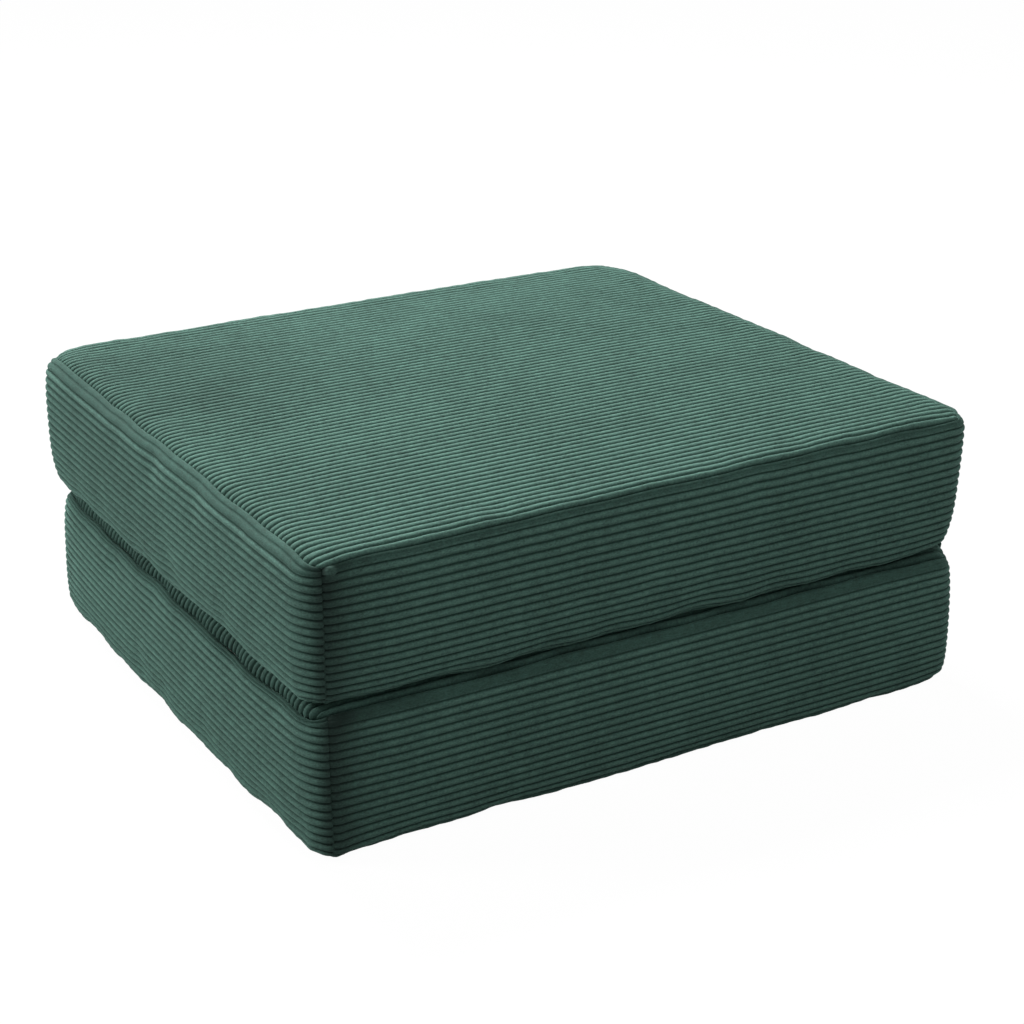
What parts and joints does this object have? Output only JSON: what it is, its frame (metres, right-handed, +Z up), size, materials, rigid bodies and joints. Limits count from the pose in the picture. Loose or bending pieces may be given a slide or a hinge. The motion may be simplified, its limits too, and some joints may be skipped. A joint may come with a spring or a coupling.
{
  "type": "fold out ottoman guest bed",
  "caption": "Folding foam guest bed: two crowned cushions in wide-wale corduroy covers, joined by a fabric hinge strip, stacked as an ottoman.",
  "frame": {"origin": "on the floor, under the middle of the folded ottoman", "axes": "+X along the long sides towards the fold, -Y out of the front, +Z up"},
  "size_m": [1.0023, 0.9037, 0.4],
  "materials": {
    "corduroy": "dark green wide-wale corduroy, soft pile",
    "foam": null,
    "zip_tape": "woven polyester tape",
    "zip_teeth": "nylon coil",
    "zip_metal": "painted die-cast zinc"
  },
  "bodies": {
    "lower_section": {"lower_foam_core": "foam", "lower_outer_panel": "corduroy", "lower_inner_panel": "corduroy", "lower_front_boxing": "corduroy", "lower_left_boxing": "corduroy", "lower_right_boxing": "corduroy", "lower_back_boxing_above_zip": "corduroy", "lower_back_boxing_below_zip": "corduroy", "lower_zip_end_tabs": "corduroy", "lower_zip_tapes": "zip_tape", "lower_zip_teeth": "zip_teeth", "lower_zip_stops": "zip_teeth", "hinge_strip": "corduroy"},
    "upper_section": {"upper_foam_core": "foam", "upper_outer_panel": "corduroy", "upper_inner_panel": "corduroy", "upper_front_boxing": "corduroy", "upper_left_boxing": "corduroy", "upper_right_boxing": "corduroy", "upper_back_boxing_above_zip": "corduroy", "upper_back_boxing_below_zip": "corduroy", "upper_zip_end_tabs": "corduroy", "upper_zip_tapes": "zip_tape", "upper_zip_teeth": "zip_teeth", "upper_zip_stops": "zip_teeth"},
    "lower_slider": {"lower_zip_slider": "zip_metal"},
    "lower_pull": {"lower_zip_pull": "zip_metal"},
    "upper_slider": {"upper_zip_slider": "zip_metal"},
    "upper_pull": {"upper_zip_pull": "zip_metal"}
  },
  "joints": [
    {"name": "fold_hinge", "type": "hinge", "parent": "lower_section", "child": "upper_section", "pos_m": [0.5015, 0, 0.2], "axis": [0, 1, 0], "range_deg": [0, 180], "deforming": ["hinge_strip"]},
    {"name": "lower_zip_slide", "type": "slide", "parent": "lower_section", "child": "lower_slider", "axis": [1, 0, 0], "range_m": [0, 0.882]},
    {"name": "lower_pull_pivot", "type": "hinge", "parent": "lower_slider", "child": "lower_pull", "pos_m": [-0.4411, 0.4518, 0.09967], "axis": [0, 0, 1], "range_deg": [0, 170]},
    {"name": "upper_zip_slide", "type": "slide", "parent": "upper_section", "child": "upper_slider", "axis": [1, 0, 0], "range_m": [0, 0.882]},
    {"name": "upper_pull_pivot", "type": "hinge", "parent": "upper_slider", "child": "upper_pull", "pos_m": [-0.4411, 0.4518, 0.29757], "axis": [0, 0, 1], "range_deg": [0, 170]}
  ]
}
